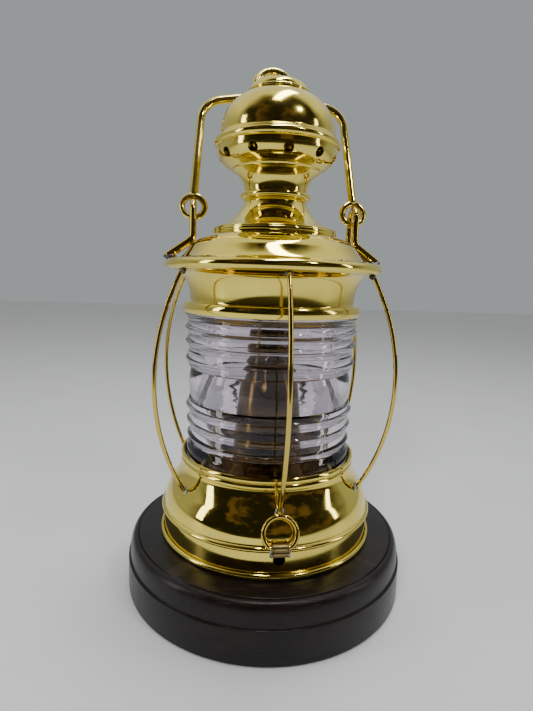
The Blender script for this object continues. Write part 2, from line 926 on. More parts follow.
@dataclass(frozen=True)
class StainedWood:
    """Turned hardwood, stained almost black and waxed."""

    name: str
    dark: Colour = (0.0036, 0.0024, 0.0021, 1.0)
    light: Colour = (0.013, 0.0075, 0.006, 1.0)
    pore: Colour = (0.006, 0.005, 0.004, 1.0)
    rubbed: Colour = (0.06, 0.042, 0.032, 1.0)
    dust: Colour = (0.20, 0.19, 0.18, 1.0)

    def build(self) -> bpy.types.Material:
        """Makes the wood, with long grain, open pores, rubbed edges and dust.

        Returns:
            The material.
        """
        material, net, shader = fresh(self.name)
        place = net.place()
        fibres = net.stretched(place, (0.10, 1.0, 1.0))
        grain = net.noise(fibres, 150.0, 6.0, 0.62)
        pores = net.ramp(net.noise(fibres, 900.0, 3.0, 0.5), 0.60, 0.72)
        broad = net.noise(fibres, 22.0, 3.0, 0.5)
        tone = net.ramp(net.blend(grain, 0.6, broad, 0.4), 0.36, 0.66)
        base = net.mix(tone, self.dark, self.light)
        base = net.mix(pores, base, self.pore)
        edge = use(net, crevice_group())["Edge"]
        base = net.mix(net.math("MULTIPLY", edge, 0.25), base, self.rubbed)
        dust = net.ramp(net.noise(place, 420.0, 5.0, 0.75), 0.66, 0.78)
        base = net.mix(net.math("MULTIPLY", dust, 0.05), base, self.dust)
        net.put(shader.inputs["Base Color"], base)
        net.put(shader.inputs["Roughness"], net.math("ADD", net.math("MULTIPLY", grain, 0.20), 0.22))
        shader.inputs["Specular IOR Level"].default_value = 0.30
        height = net.math("SUBTRACT", net.math("MULTIPLY", grain, 0.5), pores)
        bump(net, shader, height, 0.00018, 0.7)
        return material


@dataclass(frozen=True)
class Plain:
    """A matt stuff with a fine noisy surface, such as felt, rubber, solder or plated steel.

    Above the height dark_from it is smoked dark.
    """

    name: str
    colour: Colour
    second: Colour
    roughness: float
    metallic: float = 0.0
    scale: float = 700.0
    depth: float = 0.0002
    sheen: float = 0.0
    dark_from: float = 9.0
    smoke: Colour = (0.035, 0.028, 0.018, 1.0)

    def build(self) -> bpy.types.Material:
        """Makes the stuff, with its two colours mingled by noise.

        Returns:
            The material.
        """
        material, net, shader = fresh(self.name)
        place = net.place()
        fine = net.noise(place, self.scale, 5.0, 0.65)
        broad = net.noise(place, self.scale * 0.12, 3.0, 0.5)
        mask = net.ramp(net.blend(fine, 0.5, broad, 0.5), 0.38, 0.62)
        above = net.ramp(net.axes(place)["Z"], self.dark_from, self.dark_from + 0.01)
        tone = net.mix(mask, self.colour, self.second)
        net.put(shader.inputs["Base Color"], net.mix(net.math("MULTIPLY", above, 0.8), tone, self.smoke))
        shader.inputs["Metallic"].default_value = self.metallic
        net.put(shader.inputs["Roughness"],
                net.math("ADD", net.math("MULTIPLY", fine, 0.2), self.roughness - 0.1, clamp=True))
        shader.inputs["Sheen Weight"].default_value = self.sheen
        bump(net, shader, fine, self.depth)
        return material


@dataclass(frozen=True)
class WovenCotton:
    """Flat woven wick, charred at its top."""

    name: str
    char_from: float
    dark: Colour = (0.62, 0.56, 0.44, 1.0)
    light: Colour = (0.86, 0.82, 0.72, 1.0)
    char: Colour = (0.012, 0.010, 0.009, 1.0)

    def build(self) -> bpy.types.Material:
        """Makes the wick, with crossing threads and a burnt upper edge.

        Returns:
            The material.
        """
        material, net, shader = fresh(self.name)
        place = net.place()
        waves = []
        for axis in ("Y", "Z"):
            wave = net.add("ShaderNodeTexWave", wave_type="BANDS", bands_direction=axis)
            net.put(wave.inputs["Vector"], place)
            wave.inputs["Scale"].default_value = 320.0
            wave.inputs["Distortion"].default_value = 0.6
            waves.append(wave.outputs["Fac"])
        weave = net.math("MULTIPLY", waves[0], waves[1])
        ragged = net.math("MULTIPLY", net.noise(place, 500.0), 0.003)
        height = net.math("ADD", net.axes(place)["Z"], ragged)
        burnt = net.ramp(height, self.char_from, self.char_from + 0.003)
        clean = net.mix(weave, self.dark, self.light)
        net.put(shader.inputs["Base Color"], net.mix(burnt, clean, self.char))
        net.put(shader.inputs["Roughness"], net.math("ADD", net.math("MULTIPLY", weave, 0.1), 0.82))
        bump(net, shader, weave, 0.0003)
        return material


class Finish(Enum):
    """Every finish on the lantern, by the record's material slot."""

    POLISHED = "polished_brass"
    BAIL = "bail_brass"
    WIRE = "wire_brass"
    DULL = "dull_brass"
    BURNER = "burner_brass"
    GLASS = "lens_glass"
    WOOD = "plinth_wood"
    FELT = "felt"
    GASKET = "gasket"
    STEEL = "bolt_steel"
    SOLDER = "solder"
    WICK = "wick_cotton"


def finishes() -> dict[Finish, bpy.types.Material]:
    """Builds one material for each finish.

    Returns:
        The materials by finish.
    """
    wick_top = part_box("wick")[1].z
    makers = {
        Finish.POLISHED: Brass("polished brass"),
        Finish.BAIL: Brass("rubbed brass", colour=(0.84, 0.69, 0.18, 1.0), smooth=0.09, worn=0.26,
                           tarnished=0.25, rings=600.0, wave_depth=0.0003),
        Finish.WIRE: Brass("drawn brass wire", colour=(0.69, 0.52, 0.11, 1.0), smooth=0.05, worn=0.18,
                           tarnished=0.22, rings=900.0, wave_depth=0.00008),
        Finish.DULL: Brass("dull brass", colour=(0.44, 0.34, 0.15, 1.0), smooth=0.24, worn=0.45,
                           tarnished=0.6),
        Finish.BURNER: BurntBrass("burner brass", colour=(0.11, 0.074, 0.028, 1.0), smooth=0.12, worn=0.26),
        Finish.GLASS: PressedGlass("pressed glass"),
        Finish.WOOD: StainedWood("stained wood"),
        Finish.FELT: Plain("baize", (0.016, 0.030, 0.020, 1.0), (0.028, 0.048, 0.033, 1.0), 0.95,
                           scale=1800.0, depth=0.0006, sheen=0.4),
        Finish.GASKET: Plain("gasket rubber", (0.014, 0.013, 0.013, 1.0), (0.030, 0.028, 0.027, 1.0), 0.62),
        Finish.STEEL: Plain("plated steel", (0.52, 0.52, 0.50, 1.0), (0.62, 0.61, 0.57, 1.0), 0.34,
                            metallic=1.0, depth=0.00005),
        Finish.SOLDER: Plain("soft solder", (0.30, 0.31, 0.33, 1.0), (0.55, 0.56, 0.58, 1.0), 0.40,
                             metallic=1.0, scale=420.0, depth=0.0004, dark_from=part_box("lens")[1].z),
        Finish.WICK: WovenCotton("cotton wick", wick_top - 0.003),
    }
    return {key: maker.build() for key, maker in makers.items()}


# ---------------------------------------------------------------------------
# The lantern's sub-assemblies
# ---------------------------------------------------------------------------


@dataclass
class Maker:
    """What every sub-assembly shares: its finishes and the pieces that it has made."""

    palette: dict[Finish, bpy.types.Material]
    made: list[str] = field(default_factory=list)

    def dress(self, obj: bpy.types.Object, finish: Finish) -> None:
        """Gives an object one finish.

        Args:
            obj: The piece or CAD node.
            finish: Its finish.
        """
        obj.data.materials.clear()
        obj.data.materials.append(self.palette[finish])

    def place(self, obj: bpy.types.Object, finish: Finish, body: str, *nodes: str) -> bpy.types.Object:
        """Dresses a new piece, ties it to its body and hides the nodes that it stands for.

        Args:
            obj: The new piece.
            finish: Its finish.
            body: The body that it rides on.
            *nodes: CAD nodes that it replaces.

        Returns:
            The same piece.
        """
        self.dress(obj, finish)
        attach(obj, body)
        if nodes:
            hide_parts(*nodes)
        self.made.append(obj.name)
        LOG.info("made %s on %s", obj.name, body)
        return obj

    def keep(self, finish: Finish, *nodes: str) -> None:
        """Dresses CAD nodes that are shown as they are.

        Args:
            finish: Their finish.
            *nodes: Names of the nodes.
        """
        for name in nodes:
            self.dress(frame["nodes"][name], finish)
            LOG.info("kept %s", name)


def half_round(r: float, z: float, d: float, n: int = 40) -> np.ndarray:
    """Closed round section of a bead whose middle is at radius r and height z."""
    return arc((r, z), d / 2, -180, 180, n)[:-1]


def joint_place(name: str) -> np.ndarray:
    """Where the named joint of the frame lies, in metres."""
    return np.array(next(j for j in frame["joints"] if j["name"] == name)["pos_m"])


@dataclass
class Plinth(Maker):
    """The turned wooden plinth, its felt and the bolts that hold the lantern down."""

    body: str = "lantern"
    band_share: float = 0.60
    step: float = 1.5 * MM
    groove: float = 0.9 * MM
    cushion: float = 7 * MM

    def build(self) -> None:
        """Makes the plinth and dresses what lies under it."""
        low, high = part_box("plinth")
        felt_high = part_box("felt_pad")[1]
        r, top, z0 = high.x, high.z, low.z
        felt_r = felt_high.x + 0.3 * MM
        band = z0 + (top - z0) * self.band_share
        shoulder = r - self.step
        disc = shoulder - self.cushion
        brow = (disc + self.groove, top - self.groove * 0.9)
        dip = (disc - self.groove * 0.2, top - self.groove * 0.6)
        outline = joined(
            [(0, felt_high.z), (felt_r, felt_high.z), (felt_r, z0 + 0.3 * MM)],
            bend((felt_r, z0 + 0.3 * MM), (felt_r, z0), (felt_r + 0.5 * MM, z0), 3),
            bend((r - 1.6 * MM, z0), (r, z0), (r, z0 + 1.6 * MM), 6),
            bend((r, band - 0.8 * MM), (r, band), (r - 0.8 * MM, band), 5),
            bend((shoulder + 0.3 * MM, band), (shoulder, band), (shoulder, band + 0.5 * MM), 3),
            bend((shoulder, band + 0.5 * MM), (shoulder, top - self.groove * 0.8), brow, 28),
            bend(brow, (disc + self.groove * 0.3, top - self.groove * 2.2), dip, 6),
            bend(dip, (disc - self.groove * 0.3, top), (disc - self.groove, top), 4),
            [(0, top)],
        )
        outline[0, 0] = outline[-1, 0] = POLE
        self.place(turned("turned_plinth", outline, closed=False), Finish.WOOD, self.body, "plinth")
        self.keep(Finish.FELT, "felt_pad")
        self.keep(Finish.STEEL, "plinth_bolts")
        self.keep(Finish.DULL, "bolt_nuts", "base_plate")


@dataclass
class Base(Maker):
    """The brass base: skirt with its port, shoulder, and the seat of the glass."""

    body: str = "lantern"
    roll: float = 4.6 * MM
    lip: float = 2.6 * MM
    port_r: float = 4.5 * MM

    def build(self) -> None:
        """Makes the base's three spun pieces."""
        self.skirt()
        self.shoulder()
        self.seat()

    def skirt(self) -> None:
        """Straight skirt that curls out into a rolled edge, pierced at the front."""
        low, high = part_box("base_skirt")
        foot, top = low.z, high.z
        outer = high.x - self.roll * 0.65
        hub = (outer + self.roll * 0.15, foot + self.roll / 2)
        curl = arc(hub, self.roll / 2, -200, 80, 30)
        curl = curl[curl[:, 0] > outer - self.roll * 0.4]
        start = (outer, foot + self.roll + 1.6 * MM)
        turn_up = bend(start, (outer, foot + self.roll), (outer, foot + self.roll * 0.9), 4)
        outline = joined(turn_up[::-1], np.linspace(start, (outer, top), 12))
        span = np.linalg.norm(np.diff(outline, axis=0), axis=1).sum()
        port_z = top - 6.5 * MM
        at = span - (top - port_z)
        shell = pierced_shell("skirt_sheet", outline, 1, -90, at, self.port_r, wide=14, sectors=14)
        self.place(shell, Finish.POLISHED, self.body, "base_skirt")
        section = softened(joined(curl, [(outer - SHEET, foot + self.roll * 0.5)]), 0.3 * MM)
        self.place(turned("skirt_roll", section), Finish.POLISHED, self.body)

    def shoulder(self) -> None:
        """Lip bead and the ogee that rises from it to the seat."""
        low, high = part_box("base_shoulder")
        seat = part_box("lens_seat")
        lip_z = low.z + self.lip / 2
        lip_r = high.x - self.lip / 2
        z0 = lip_z + self.lip
        z1 = seat[0].z
        edge = seat[1].x - 1.0 * MM
        base = lip_r - 0.2 * MM
        waist = np.array([edge + 0.55 * (base - edge), z0 + 0.53 * (z1 - z0)])
        lip_foot, lip_top = (lip_r, low.z - 1.2 * MM), (lip_r - 0.1 * MM, z0 - 0.6 * MM)
        outline = joined(
            bend(lip_foot, (lip_r + 1.5 * self.lip, lip_z), lip_top, 16),
            bend((base - 0.3 * MM, z0 + 0.6 * MM), (base - 0.9 * MM, z0 + 0.27 * (z1 - z0)), waist),
            bend(waist, (edge + 0.6 * MM, z1 - 0.18 * (z1 - z0)), (edge, z1)),
        )
        self.place(turned("shoulder_sheet", wall(outline)), Finish.POLISHED, self.body, "base_shoulder")

    def seat(self) -> None:
        """Channel that holds the foot of the glass, with two beads outside."""
        low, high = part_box("lens_seat")
        r, z0, z1 = high.x, low.z, high.z
        inner = r - 2.4 * MM
        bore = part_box("lower_gasket")[0].x * -1 - 12 * MM
        outline = joined(
            bend((r - 0.9 * MM, z0), (r + 0.9 * MM, z0 + 2.1 * MM), (r - 1.1 * MM, z0 + 4.2 * MM), 14),
            bend((r - 1.1 * MM, z0 + 4.5 * MM), (r + 1.1 * MM, z0 + 6.7 * MM), (r - 1.0 * MM, z1), 16),
            [(inner + 0.4 * MM, z1), (inner, z1 - 0.4 * MM), (inner, z0 + 1.5 * MM)],
            [(bore, z0 + 1.5 * MM), (bore, z0)],
        )
        self.place(turned("seat_channel", outline), Finish.POLISHED, self.body, "lens_seat")
        self.keep(Finish.GASKET, "lower_gasket", "upper_gasket")


@dataclass
class Glass(Maker):
    """The pressed lens: a smooth belt between rings of prisms."""

    body: str = "lantern"
    groove: float = 4.3 * MM
    bore: float = 60 * MM
    widest: float = 72.9 * MM

    def ridge(self, z: float, half: float, r: float) -> np.ndarray:
        """One prism ring, as a bend out to its tip and back.

        Args:
            z: Height of the tip.
            half: Half of the ring's height.
            r: Radius that the tip is drawn towards.

        Returns:
            Points of the ring's outline.
        """
        tip = 1.1 * MM
        root = r - self.groove
        top = np.array([r - self.groove * 0.42, z])
        rise = bend((root, z - half), (root + self.groove * 0.30, z - half * 0.35), top - (0.5 * MM, tip), 8)
        turn = bend(rise[-1], top + (0.55 * MM, 0), top + (-0.5 * MM, tip), 10)
        fall = bend(turn[-1], (root + self.groove * 0.30, z + half * 0.35), (root, z + half), 8)
        return joined(rise, turn, fall)

    def build(self) -> None:
        """Makes the glass."""
        low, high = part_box("lens")
        seat_top, neck_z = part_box("lens_seat")[1].z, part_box("neck_casing")[0].z
        r = LENS_R * (high.x / self.widest)
        h = neck_z - seat_top
        flange = r - 2.2 * MM
        belt, belt_h = seat_top + h * 0.49, h * 0.24
        first = seat_top + h * 0.04
        low_pitch, high_pitch = h * 0.108, h * 0.095
        upper = belt + belt_h / 2 + h * 0.068
        ring_r = r + self.groove / 2 - 1.1 * MM + 0.8 * MM
        crown = joined(*[
            self.ridge(upper + high_pitch * (0.28 + i), high_pitch * 0.45,
                       ring_r - 0.8 * MM + i * 0.2 * MM)
            for i in (1, 2, 3)
        ])
        crown = crown[crown[:, 1] < neck_z - 0.2 * MM]
        outline = joined(
            [(self.bore, low.z), (flange, low.z), (flange, first)],
            bend((flange, first), (flange - self.groove * 0.3, first + 2 * MM),
                 (flange - self.groove / 2, first + 4 * MM), 8),
            *[self.ridge(first + h * 0.085 + low_pitch * i, low_pitch * 0.45, ring_r - 2.6 * MM + i * 0.6 * MM)
              for i in range(3)],
            bend((r - 5.8 * MM, belt - belt_h / 2), (r - 1.6 * MM, belt),
                 (r - 5.2 * MM, belt + belt_h / 2), 32),
            self.ridge(upper, high_pitch * 0.6, ring_r - 0.9 * MM),
            crown,
            [(flange - MM, neck_z - 0.1 * MM), (flange - MM, high.z), (self.bore, high.z)],
        )
        self.place(turned("ribbed_glass", outline, count=2 * ROUND), Finish.GLASS, self.body, "lens")


@dataclass
class Neck(Maker):
    """The neck above the glass, the cap with its wired rim, and the cap's mouth."""

    body: str = "lantern"
    bead_h: float = 8.2 * MM
    lap_r: float = 62 * MM

    def build(self) -> None:
        """Makes the neck, the rim and the cap."""
        low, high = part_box("cap_rim")
        bead = high.z - low.z
        rim_r, rim_z = high.x - bead / 2, (low.z + high.z) / 2
        self.casing(rim_r, low.z)
        section = joined(
            arc((rim_r, rim_z), bead / 2, -170, 100, 34),
            [(rim_r - bead * 0.45, rim_z + bead * 0.38), (rim_r - bead * 0.45, rim_z - bead * 0.15)],
        )
        rim = turned("rim_bead", softened(section, 0.3 * MM, n=3))
        self.place(rim, Finish.POLISHED, self.body, "cap_rim")
        self.dome(rim_r, high.z)
        self.keep(Finish.POLISHED, "cap_mouth")

    def casing(self, rim_r: float, rim_foot: float) -> None:
        """The bead round the top of the glass, and the hollow neck that flares out to the rim.

        Args:
            rim_r: Radius of the middle of the rim's bead.
            rim_foot: Height of the rim's underside.
        """
        z0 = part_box("neck_casing")[0].z
        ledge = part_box("lens")[1].z + 1.8 * MM
        inner, throat = LENS_R - 3.1 * MM, LENS_R - 5.4 * MM
        side, bead_top = LENS_R - 0.9 * MM, z0 + self.bead_h
        neck_foot = (throat, bead_top + MM)
        inside = (throat - SHEET, bead_top + MM)
        outline = joined(
            [(inner, z0)],
            bend((side, z0), (LENS_R + 2 * MM, z0 + self.bead_h / 2), (side, bead_top), 24),
            bend((throat + 0.8 * MM, bead_top), (throat, bead_top), neck_foot, 5),
            bend(neck_foot, (throat + 0.6 * MM, rim_foot - 2 * MM), (rim_r - 3 * MM, rim_foot - 0.2 * MM), 36),
            [(rim_r - 3 * MM, rim_foot + MM)],
            bend((rim_r - 4 * MM, rim_foot + MM), (throat - 0.6 * MM, rim_foot - MM), inside, 24),
            [(throat - SHEET, ledge + SHEET), (self.lap_r, ledge + SHEET), (self.lap_r, ledge), (inner, ledge)],
        )
        self.place(turned("neck_sheet", outline), Finish.POLISHED, self.body, "neck_casing")

    def dome(self, rim_r: float, top: float) -> None:
        """The cap: a narrow brim, a hollow and a shoulder that runs in to the mouth.

        Args:
            rim_r: Radius of the middle of the rim's bead.
            top: Height of the rim's top.
        """
        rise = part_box("cap_dome")[1].z - top
        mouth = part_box("cap_mouth")[1]
        brim = (rim_r - 7 * MM, top + 0.7 * MM)
        knee = (rim_r - 16.7 * MM, top + rise * 0.52)
        outline = joined(
            bend((rim_r - 0.6 * MM, top - 0.15 * MM), (rim_r - 5 * MM, top + 0.3 * MM), brim, 6),
            bend(brim, (rim_r - 10.5 * MM, top + 1.6 * MM), knee, 18),
            bend(knee, (rim_r - 23.5 * MM, top + rise * 0.86), (mouth.x + 0.1 * MM, mouth.z - 0.6 * MM), 24),
        )
        self.place(turned("cap_sheet", wall(outline)), Finish.POLISHED, self.body, "cap_dome")


@dataclass
class Chimney(Maker):
    """The chimney that lifts off: collar, flare, waist bead, vented bowl, hood and finial."""

    body: str = "chimney"
    vents: int = 11
    vent_r: float = 3.8 * MM
    vent_turn: float = 3.0
    collar_h: float = 3.5 * MM
    waist_in: float = 4.0 * MM

    def build(self) -> None:
        """Makes the chimney from the bottom up."""
        self.collar()
        self.flare()
        self.bowl()
        self.hood()
        self.finial()
        self.keep(Finish.DULL, "draft_tube")

    def collar(self) -> None:
        """Turned collar over the cap's mouth; the bayonet below it stays as it is."""
        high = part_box("chimney_collar")[1]
        r, top, t = high.x, high.z, self.collar_h
        outline = joined(
            [(47.2 * MM, top - t)],
            bend((r - t * 0.4, top - t), (r + 0.1 * MM, top - t), (r, top - t * 0.5), 8),
            bend((r, top - t * 0.5), (r + 0.1 * MM, top), (r - t * 0.5, top + 0.02 * MM), 8),
            [(46 * MM, top + 0.02 * MM), (46 * MM, top - t)],
        )
        self.place(turned("collar_edge", outline), Finish.POLISHED, self.body)
        self.keep(Finish.POLISHED, "chimney_collar")

    def flare(self) -> None:
        """Trumpet from the collar in to the waist, with the bead round it."""
        low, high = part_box("chimney_flare")
        bead_low, bead_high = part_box("waist_bead")
        r0, r1 = high.x, bead_high.x - self.waist_in
        h = (bead_low.z + bead_high.z) / 2 - low.z
        foot = low.z + SHEET - 0.1 * MM
        rise = (r0 - 0.8 * MM, foot + 0.35 * MM)
        outline = joined(
            bend((r0 + 0.2 * MM, foot - 0.1 * MM), (r0 - 0.2 * MM, foot), rise, 5),
            bend(rise, (r1 + 4 * MM, foot + h * 0.33), (r1, bead_low.z), 40),
            [(r1, high.z)],
        )
        self.place(turned("flare_sheet", wall(outline)), Finish.POLISHED, self.body, "chimney_flare")
        d = bead_high.z - bead_low.z
        bead = half_round(bead_high.x - d / 2, (bead_low.z + bead_high.z) / 2, d)
        self.place(turned("waist_ring", bead), Finish.POLISHED, self.body, "waist_bead")

    def bowl(self) -> None:
        """Second trumpet, a small ledge and the round bowl, pierced by the vents."""
        low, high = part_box("chimney_bowl")
        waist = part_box("waist_bead")
        r = high.x
        waist_r = waist[1].x - self.waist_in
        z0 = low.z
        top = high.z
        h = (top - z0) - 0.2 * MM
        ledge = np.array([r * 0.755, z0 + h * 0.53])
        under = ledge - (0.9 * MM, 1.5 * MM)
        outline = joined(
            bend((waist_r + 0.6 * MM, z0), (waist_r + 1.2 * MM, z0 + h * 0.36), under, 26),
            bend(under, ledge - (0.1 * MM, 1.2 * MM), ledge, 5),
            bend(ledge, (r - MM, ledge[1] + h * 0.13), (r, top - 3.2 * MM), 30),
            [(r, top)],
        )
        at = float(np.interp(ledge[1] + h * 0.235, outline[:, 1], lengths(outline)))
        shell = pierced_shell("vented_bowl", outline, self.vents, self.vent_turn - 90, at, self.vent_r)
        self.place(shell, Finish.POLISHED, self.body, "chimney_bowl")

    def hood(self) -> None:
        """Rolled lip and the dome above it."""
        roll_low, roll_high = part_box("hood_roll")
        d = roll_high.z - roll_low.z
        z = (roll_low.z + roll_high.z) / 2
        bead = half_round(roll_high.x - d / 2, z, d)
        self.place(turned("hood_lip", bead), Finish.POLISHED, self.body, "hood_roll")
        low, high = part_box("hood")
        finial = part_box("finial")[1].x
        r, foot, top = high.x - 1.4 * MM, low.z + SHEET, high.z
        dome = joined(
            bend((high.x, foot - 0.4 * MM), (r + 0.2 * MM, foot), (r, foot + 1.6 * MM), 8),
            bend((r, foot + 1.6 * MM), (r - 0.6 * MM, foot + (top - foot) * 0.72), (finial - 0.3 * MM, top), 48),
        )
        self.place(turned("hood_dome", wall(dome)), Finish.POLISHED, self.body, "hood")

    def finial(self) -> None:
        """Stepped knob on the hood, with its button."""
        low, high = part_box("finial")
        button_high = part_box("finial_button")[1]
        r, z0, top = high.x, low.z, high.z
        knob = joined(
            [(POLE, z0)],
            bend((r - 1.2 * MM, z0), (r + 0.7 * MM, z0 + 1.3 * MM), (r - 1.1 * MM, z0 + 2.7 * MM), 14),
            bend((r - 1.4 * MM, z0 + 2.7 * MM), (r * 0.86, top - 0.5 * MM), (button_high.x, top), 30),
            [(POLE, top)],
        )
        self.place(turned("finial_knob", knob, closed=False), Finish.POLISHED, self.body, "finial")
        b, foot, crown = button_high.x, top - 0.2 * MM, button_high.z
        brow = (b * 0.6, crown - 0.3 * MM)
        cap = joined(
            [(POLE, foot)],
            bend((b, foot), (b + 0.2 * MM, crown - 0.6 * MM), brow, 10),
            bend(brow, (b * 0.3, crown), (POLE, crown), 6),
        )
        button = turned("finial_cap", cap, closed=False, count=64)
        self.place(button, Finish.POLISHED, self.body, "finial_button")


@dataclass
class Wires(Maker):
    """Guards, ears and their solder."""

    body: str = "lantern"
    guard_r: float = 1.65 * MM
    ear_r: float = 2.5 * MM
    turns: tuple[tuple[str, float], ...] = (
        ("guard_front", -90.0), ("guard_front_right", -30.0), ("guard_back_right", 30.0),
        ("guard_back", 90.0), ("guard_back_left", 150.0), ("guard_front_left", 210.0),
    )

    def guard_path(self) -> np.ndarray:
        """Middle of a guard in its own upright plane, as radius and height.

        It is the arc through the two ends and the widest point of the guards in the frame.

        Returns:
            Points from the foot to the top.
        """
        low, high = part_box("guard_back")
        rim_low, rim_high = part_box("cap_rim")
        bead = rim_high.z - rim_low.z
        top = np.array([rim_high.x - bead / 2 - MM, rim_low.z - self.guard_r])
        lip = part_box("base_shoulder")
        foot = np.array([lip[1].x - 9.3 * MM, low.z + self.guard_r * 0.48])
        seat_top, neck_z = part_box("lens_seat")[1].z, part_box("neck_casing")[0].z
        mid = np.array([high.y - self.guard_r, seat_top + (neck_z - seat_top) * 0.47])
        p, q = mid - top, foot - top
        k = 2 * (p[0] * q[1] - p[1] * q[0])
        pp, qq = p @ p, q @ q
        hub = top + np.array([q[1] * pp - p[1] * qq, p[0] * qq - q[0] * pp]) / k
        r = np.linalg.norm(mid - hub)
        start = math.degrees(math.atan2(*(foot - hub)[::-1]))
        end = math.degrees(math.atan2(*(top - hub)[::-1]))
        return arc(hub, r, start, end, 72)

    def build(self) -> None:
        """Makes six guards, two ears and the solder that holds them."""
        path = self.guard_path()
        tops: list[np.ndarray] = []
        feet: list[np.ndarray] = []
        for name, turn in self.turns:
            a = math.radians(turn)
            way = np.array([math.cos(a), math.sin(a), 0.0])
            line = path[:, :1] * way + path[:, 1:] * np.array([0.0, 0.0, 1.0])
            wire = swept(name + "_wire", line, self.guard_r, sides=24)
            self.place(wire, Finish.WIRE, self.body, name)
            tops.append(line[-1] + np.array([0, 0, 0.3 * MM]) - way * 0.8 * MM)
            feet.append(line[0] - way * 0.9 * MM)
        high_drops = lump("guard_top_solder", np.array(tops), (2.3 * MM, 3.0 * MM, 2.3 * MM), 0.2)
        self.place(high_drops, Finish.SOLDER, self.body, "guard_solder")
        low_drops = lump("guard_foot_solder", np.array(feet), (1.9 * MM, 3.4 * MM, 3.6 * MM), 0.22)
        self.place(low_drops, Finish.SOLDER, self.body)
        self.ears()

    def ears(self) -> None:
        """Each ear is a wire bent over in a half circle, with its feet turned out along the cap."""
        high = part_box("ears")[1]
        pivot = joint_place("bail_swing")[2]
        wire = self.ear_r
        bend_r = high.z - pivot - wire
        eye_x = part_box("bail")[1].x - EYE_OUT
        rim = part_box("cap_rim")
        tip_r, tip_z = high.x - 1.4 * MM, rim[1].z + wire + 0.1 * MM
        foot_z = rim[1].z + 0.76 * (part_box("cap_mouth")[1].z - rim[1].z)
        feet = []
        for side, name in ((1, "right"), (-1, "left")):
            half = joined(
                np.array([(tip_r, 0, tip_z)]),
                bend((eye_x + 3.5 * MM, 0, foot_z - 2.4 * MM), (eye_x, 0, foot_z),
                     (eye_x, 0, foot_z + 4 * MM), 10),
                np.array([(eye_x, 0, pivot)]),
            )
            front = half + (0, -bend_r, 0)
            back = (half + (0, bend_r, 0))[::-1]
            a = np.radians(np.linspace(180, 0, 31))[1:-1, None]
            over = np.hstack([np.full_like(a, eye_x), bend_r * np.cos(a), pivot + bend_r * np.sin(a)])
            path = even(joined(front, over, back), WIRE_STEP) * (side, 1, 1)
            self.place(swept("ear_%s_wire" % name, path, wire), Finish.WIRE, self.body,
                       *(("ears",) if side == 1 else ()))
            feet += [(side * (tip_r - 1.6 * MM), s * bend_r, rim[1].z + 1.0 * MM) for s in (-1, 1)]
        drops = lump("ear_foot_solder", np.array(feet), (4.4 * MM, 4.2 * MM, 2.6 * MM), 0.2)
        self.place(drops, Finish.SOLDER, self.body, "ear_solder")


@dataclass
class Bail(Maker):
    """The carrying bail with its two forged eyes and the hook loop."""

    body: str = "bail"
    lean: float = 18.0
    rod: float = 3.4 * MM
    eye_rod: float = 2.5 * MM
    eye_mid: float = 9.0 * MM
    eye_wave: float = 0.06
    corner_r: float = 20 * MM
    loop_r: float = 15 * MM
    height: float = 100 * MM
    eye_gap: float = 6.0 * MM

    def to_space(self, flat: np.ndarray) -> np.ndarray:
        """Points of the bail's own plane put in place: across stays X, along leans back.

        Args:
            flat: Points as across, along and out of the plane.

        Returns:
            Points in the frame.
        """
        a = math.radians(self.lean)
        up = np.array([0, math.sin(a), math.cos(a)])
        out = np.array([0, -math.cos(a), math.sin(a)])
        along = flat[:, 1:2] + self.eye_gap
        return joint_place("bail_swing") + flat[:, :1] * [1, 0, 0] + along * up + flat[:, 2:3] * out

    def build(self) -> None:
        """Makes the rod from eye to eye, and the two eyes."""
        eye_r, loop_r, height = self.eye_mid, self.loop_r, self.height
        eye_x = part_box("bail")[1].x - EYE_OUT
        loop_mid = height + 0.66 * loop_r
        dip = math.asin((loop_mid - height - MM) / loop_r)
        corner = np.array([eye_x - 6 * MM, height - 8 * MM])
        start = np.array([eye_x, eye_r + MM])
        bar_end = np.array([loop_r * math.cos(dip), loop_mid - loop_r * math.sin(dip)])
        to_corner = (corner - start) / np.linalg.norm(corner - start)
        to_bar = (bar_end - corner) / np.linalg.norm(bar_end - corner)
        cut = self.corner_r * math.tan(math.acos(to_corner @ to_bar) / 2)
        side = np.array([-to_corner[1], to_corner[0]])
        hub = corner - cut * to_corner + self.corner_r * side
        first = math.degrees(math.atan2(-side[1], -side[0]))
        last = first + math.degrees(math.acos(to_corner @ to_bar))
        loop = arc((0, loop_mid), loop_r, -math.degrees(dip) + 26, 90, 36)
        half = joined(
            [start], arc(hub, self.corner_r, first, last, 24),
            bend(bar_end - to_bar * 7 * MM, bar_end + to_bar * 0.2 * MM, loop[0], 14), loop,
        )
        whole = joined(half, (half * (-1, 1))[::-1])
        path = even(whole, WIRE_STEP)
        from_end = np.minimum(np.arange(len(path)), np.arange(len(path))[::-1]) * 0.9
        radius = self.rod * (1 + 0.10 * np.exp(-from_end / 5.0))
        path3 = self.to_space(np.hstack([path, np.zeros((len(path), 1))]))
        self.place(swept("bail_rod", path3, radius, sides=32), Finish.BAIL, self.body, "bail")
        a = np.radians(np.arange(0, 360, 4.0))
        for x, name in ((eye_x, "right"), (-eye_x, "left")):
            ring = np.stack([x + eye_r * np.cos(a), eye_r * np.sin(a), 0 * a], 1)
            thick = self.eye_rod * (1 + self.eye_wave * np.sin(a))
            eye = swept("bail_eye_" + name, self.to_space(ring), thick, closed=True)
            self.place(eye, Finish.BAIL, self.body)


